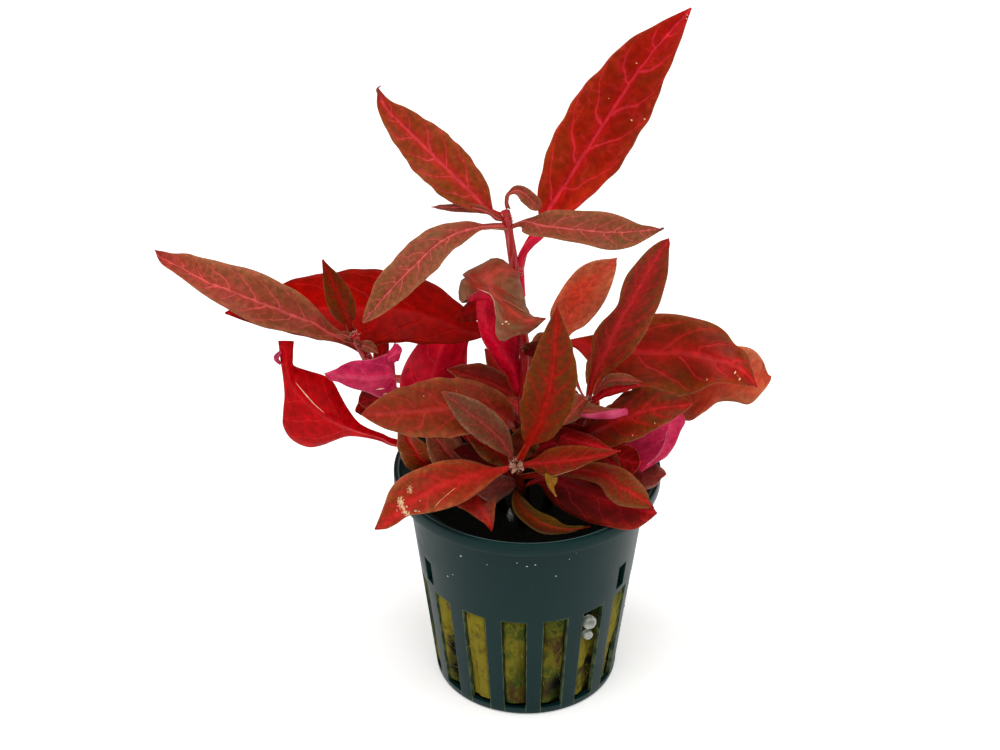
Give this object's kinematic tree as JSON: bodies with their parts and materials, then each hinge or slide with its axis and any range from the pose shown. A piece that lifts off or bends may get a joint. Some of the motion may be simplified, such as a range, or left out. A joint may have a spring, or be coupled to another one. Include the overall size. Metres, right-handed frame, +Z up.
{
  "type": "alternanthera reineckii in net pot",
  "caption": "Red-leaved alternanthera reineckii aquarium plant: leafy stem cuttings rooted in a rockwool plug inside a slotted round net pot, standing on its flat base.",
  "frame": {"origin": "centre of the pot's flat underside", "axes": "+Z up along the pot's axis, +X to the right and +Y away from the viewer, who looks from -Y"},
  "size_m": [0.1235, 0.0643, 0.1462],
  "materials": {
    "pot_plastic": "dark blue-green moulded plastic, satin",
    "rockwool": "wet yellow-green rockwool fibre with brown patches",
    "granule": "milky translucent granule",
    "stem": "smooth crimson plant stem with pale hairs at the nodes",
    "leaf_red": "satin red leaf with pink veins",
    "leaf_olive": "satin olive-brown leaf with pink veins",
    "leaf_orange": "satin orange-red leaf with red veins",
    "leaf_dark": "satin dark purple-red leaf",
    "leaf_crimson": "satin crimson leaf underside"
  },
  "bodies": {
    "root": {"pot": "pot_plastic", "rockwool_plug": "rockwool", "granule_upper": "granule", "granule_lower": "granule", "stem_tall": "stem", "stem_left": "stem", "stem_front": "stem", "stem_right": "stem", "stem_back_left": "stem", "stem_back_right": "stem", "leaf_top_left": "leaf_red", "leaf_top_right": "leaf_olive", "leaf_top_drooping": "leaf_olive", "leaf_top_small": "leaf_olive", "leaf_top_young": "leaf_olive", "leaf_tall_big": "leaf_red", "leaf_tall_curled": "leaf_olive", "leaf_mid_left": "leaf_red", "leaf_mid_right": "leaf_red", "leaf_mid_crimson": "leaf_crimson", "leaf_mid_mauve": "leaf_dark", "leaf_mid_inner": "leaf_dark", "leaf_tall_low": "leaf_orange", "leaf_left_long": "leaf_olive", "leaf_left_dark": "leaf_dark", "leaf_left_magenta": "leaf_crimson", "leaf_left_maroon": "leaf_dark", "leaf_left_inner": "leaf_olive", "leaf_left_hanging": "leaf_orange", "leaf_front_left": "leaf_orange", "leaf_front_inner_left": "leaf_olive", "leaf_front_upright": "leaf_olive", "leaf_front_right": "leaf_orange", "leaf_front_golden": "leaf_orange", "leaf_front_violet": "leaf_dark", "leaf_mouth_olive": "leaf_olive", "leaf_rim_crimson": "leaf_crimson", "leaf_rim_olive": "leaf_olive", "leaf_front_purple": "leaf_dark", "leaf_front_low_olive": "leaf_olive", "leaf_right_tall": "leaf_olive", "leaf_right_small": "leaf_olive", "leaf_right_back": "leaf_orange", "leaf_right_rolled": "leaf_olive", "leaf_right_inner": "leaf_olive", "leaf_right_long": "leaf_orange", "leaf_right_crimson": "leaf_crimson", "leaf_right_dark": "leaf_dark", "leaf_low_left_red": "leaf_crimson", "leaf_low_left_olive": "leaf_olive", "leaf_back_left_upright": "leaf_crimson", "leaf_right_broad": "leaf_orange", "leaf_right_magenta": "leaf_crimson", "leaf_rim_violet": "leaf_dark", "leaf_back_middle": "leaf_orange", "leaf_back_right": "leaf_red", "leaf_back_left": "leaf_red", "leaf_back_high": "leaf_olive", "leaf_back_young": "leaf_olive"}
  },
  "joints": []
}
